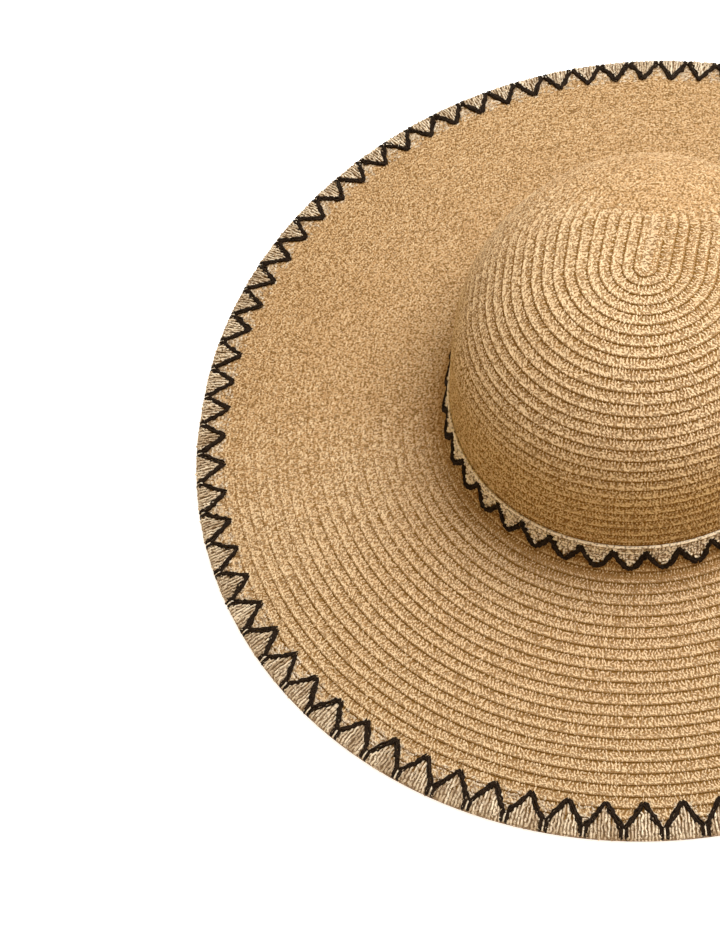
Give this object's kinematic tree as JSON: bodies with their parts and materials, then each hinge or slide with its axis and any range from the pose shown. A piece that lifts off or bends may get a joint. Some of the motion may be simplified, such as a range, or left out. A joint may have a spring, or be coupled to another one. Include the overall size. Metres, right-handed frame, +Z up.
{
  "type": "wide-brim straw sun hat",
  "caption": "Straw sun hat with a tall rounded crown, a wide nearly flat round brim, an embroidered crown band and an embroidered border round the brim's edge.",
  "frame": {"origin": "centre of the bounding box at its base, on the plane the brim's edge rests on", "axes": "+Z up through the crown; -Y is the front of the hat and Y is its longer axis, from front to back"},
  "size_m": [0.4398, 0.45, 0.1389],
  "materials": {
    "straw": "woven paper straw, satin",
    "embroidery": "pale satin-stitched thread with black outline stitches"
  },
  "bodies": {
    "root": {"crown": "straw", "brim": "straw", "crown_band": "embroidery", "edge_border": "embroidery"}
  },
  "joints": []
}
